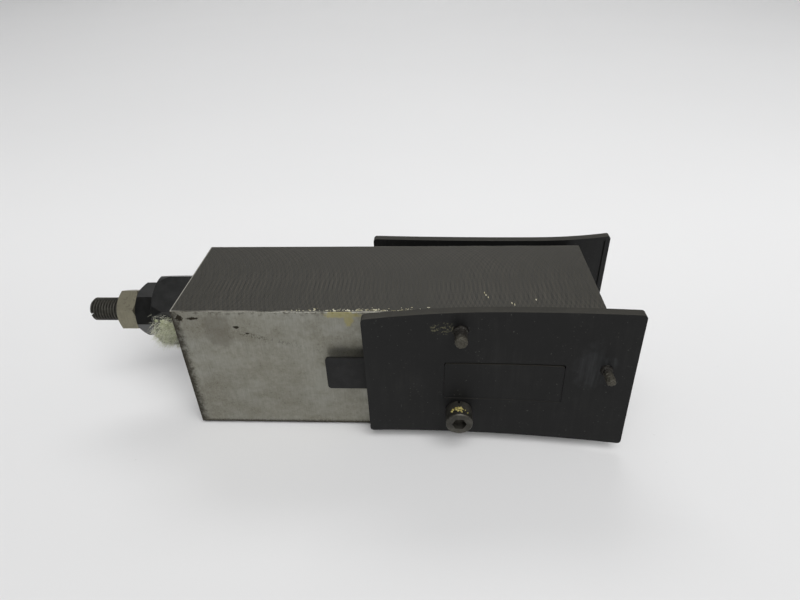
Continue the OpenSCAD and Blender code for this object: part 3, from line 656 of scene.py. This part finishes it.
sealant_look = soft_matter("dried_sealant", (0.17, 0.19, 0.07), (0.58, 0.60, 0.44), 1.1 * MM,
                           0.85, 0.2, 0.2)
fibre_look = soft_matter("sealant_fibre", (0.42, 0.44, 0.29), (0.74, 0.74, 0.64), 1.5 * MM,
                         0.85, 0.02, 0.2)
crumb_look = soft_matter("sealant_crumb", (0.20, 0.18, 0.09), (0.66, 0.64, 0.50), 1.4 * MM,
                         0.85, 0.1, 0.2)
residue_look = soft_matter("yellow_residue", (0.24, 0.20, 0.05), (0.40, 0.35, 0.14), 0.8 * MM,
                           0.8, 0.1, 0.25)

threaded_screw()
dried_sealant()
sealant_fibres()
crumbs()
screw_residue()


def soften(names, width):
    """Rounds the sharp edges of CAD nodes a little, as moulding and wear do."""
    for name in names:
        edge = nodes[name].modifiers.new("edge", "BEVEL")
        edge.width = width
        edge.segments = 2
        edge.limit_method = "ANGLE"
        edge.angle_limit = math.radians(35)
        edge.use_clamp_overlap = True


def roughen(names, depth, size):
    """Caked dirt and wear on small pins, as real relief."""
    for name in names:
        grid = nodes[name].modifiers.new("grid", "REMESH")
        grid.mode = "VOXEL"
        grid.voxel_size = 0.12 * MM
        texture = bpy.data.textures.new(name + "_dirt", "CLOUDS")
        texture.noise_scale = size
        texture.noise_depth = 3
        push = nodes[name].modifiers.new("dirt", "DISPLACE")
        push.texture = texture
        push.texture_coords = "LOCAL"
        push.strength = depth
        push.mid_level = 0.8


soften(["plate_front", "plate_rear"], 0.16 * MM)
roughen(["pad_pin_front", "pad_pin_rear", "end_pin_front", "end_pin_rear"], 0.6 * MM, 0.7 * MM)
soften(["flag_front", "flag_rear"], 0.10 * MM)


# ---------------------------------------------------------------- studio

def floor():
    """Paper that lies flat under the gripper and sweeps up into a wall behind it."""
    half_width, front, sweep_start, sweep_r, top = 2.2, 1.2, 1.82, 0.5, 1.8
    steps = 12
    profile = [(-front, 0.0), (sweep_start, 0.0)]
    for k in range(1, steps + 1):
        turn = math.radians(90 * k / steps)
        profile.append((sweep_start + sweep_r * math.sin(turn), sweep_r - sweep_r * math.cos(turn)))
    profile.append((sweep_start + sweep_r, top))
    bm = bmesh.new()
    rows = [[bm.verts.new((x, y, z)) for x in (-half_width, half_width)] for y, z in profile]
    for a, b in zip(rows, rows[1:]):
        bm.faces.new((a[0], a[1], b[1], b[0]))
    mesh = bpy.data.meshes.new("floor")
    bm.to_mesh(mesh)
    bm.free()
    for face in mesh.polygons:
        face.use_smooth = True
    mesh.materials.append(floor_paper())
    paper = bpy.data.objects.new("floor", mesh)
    scene.collection.objects.link(paper)


def surroundings():
    """Even grey light, with a darker region above and before the gripper that its faces mirror."""
    dark_towards = (-0.25, -0.89, 0.37)
    grey, dark = (0.28, 0.28, 0.285, 1), (0.03, 0.03, 0.03, 1)
    world = bpy.data.worlds.new("studio")
    scene.world = world
    world.use_nodes = True
    tree = world.node_tree
    background = tree.nodes["Background"]
    direction = tree.nodes.new("ShaderNodeTexCoord").outputs["Generated"]
    dot = tree.nodes.new("ShaderNodeVectorMath")
    dot.operation = "DOT_PRODUCT"
    tree.links.new(direction, dot.inputs[0])
    dot.inputs[1].default_value = dark_towards
    share = tree.nodes.new("ShaderNodeMapRange")
    share.interpolation_type = "SMOOTHSTEP"
    tree.links.new(dot.outputs["Value"], share.inputs[0])
    for socket, value in zip(share.inputs[1:5], (0.55, 0.93, 0.0, 1.0)):
        socket.default_value = value
    mix = tree.nodes.new("ShaderNodeMix")
    mix.data_type = "RGBA"
    tree.links.new(share.outputs[0], mix.inputs[0])
    mix.inputs[6].default_value = grey
    mix.inputs[7].default_value = dark
    tree.links.new(mix.outputs[2], background.inputs["Color"])
    background.inputs["Strength"].default_value = 1.0


def softbox(name, at, aim, size, power):
    """A rectangular soft light. Size is its width and height."""
    lamp = bpy.data.lights.new(name, "AREA")
    lamp.shape = "RECTANGLE"
    lamp.size, lamp.size_y = size
    lamp.energy = power
    holder = bpy.data.objects.new(name, lamp)
    holder.location = at
    holder.rotation_mode = "QUATERNION"
    holder.rotation_quaternion = (Vector(aim) - Vector(at)).to_track_quat("-Z", "Y")
    scene.collection.objects.link(holder)


def camera():
    """A close wide-angle camera, fitted to the photograph's vanishing lines."""
    data = bpy.data.cameras.new("camera")
    data.sensor_width = 36
    data.lens = 25.77
    data.clip_start = 0.005
    data.clip_end = 20
    holder = bpy.data.objects.new("camera", data)
    holder.location = (0.013765, -0.160531, 0.146591)
    holder.rotation_euler = [math.radians(a) for a in (56.062, 1.651, 2.544)]
    scene.collection.objects.link(holder)
    scene.camera = holder


floor()
surroundings()
softbox("key", (0.30, -0.80, 1.20), (0.0, 0.05, 0), (1.3, 1.3), 23)
softbox("backdrop_light", (-0.15, 1.45, 1.75), (-0.1, 1.2, 0), (1.6, 0.7), 12.5)
camera()
scene.view_settings.view_transform = "Standard"
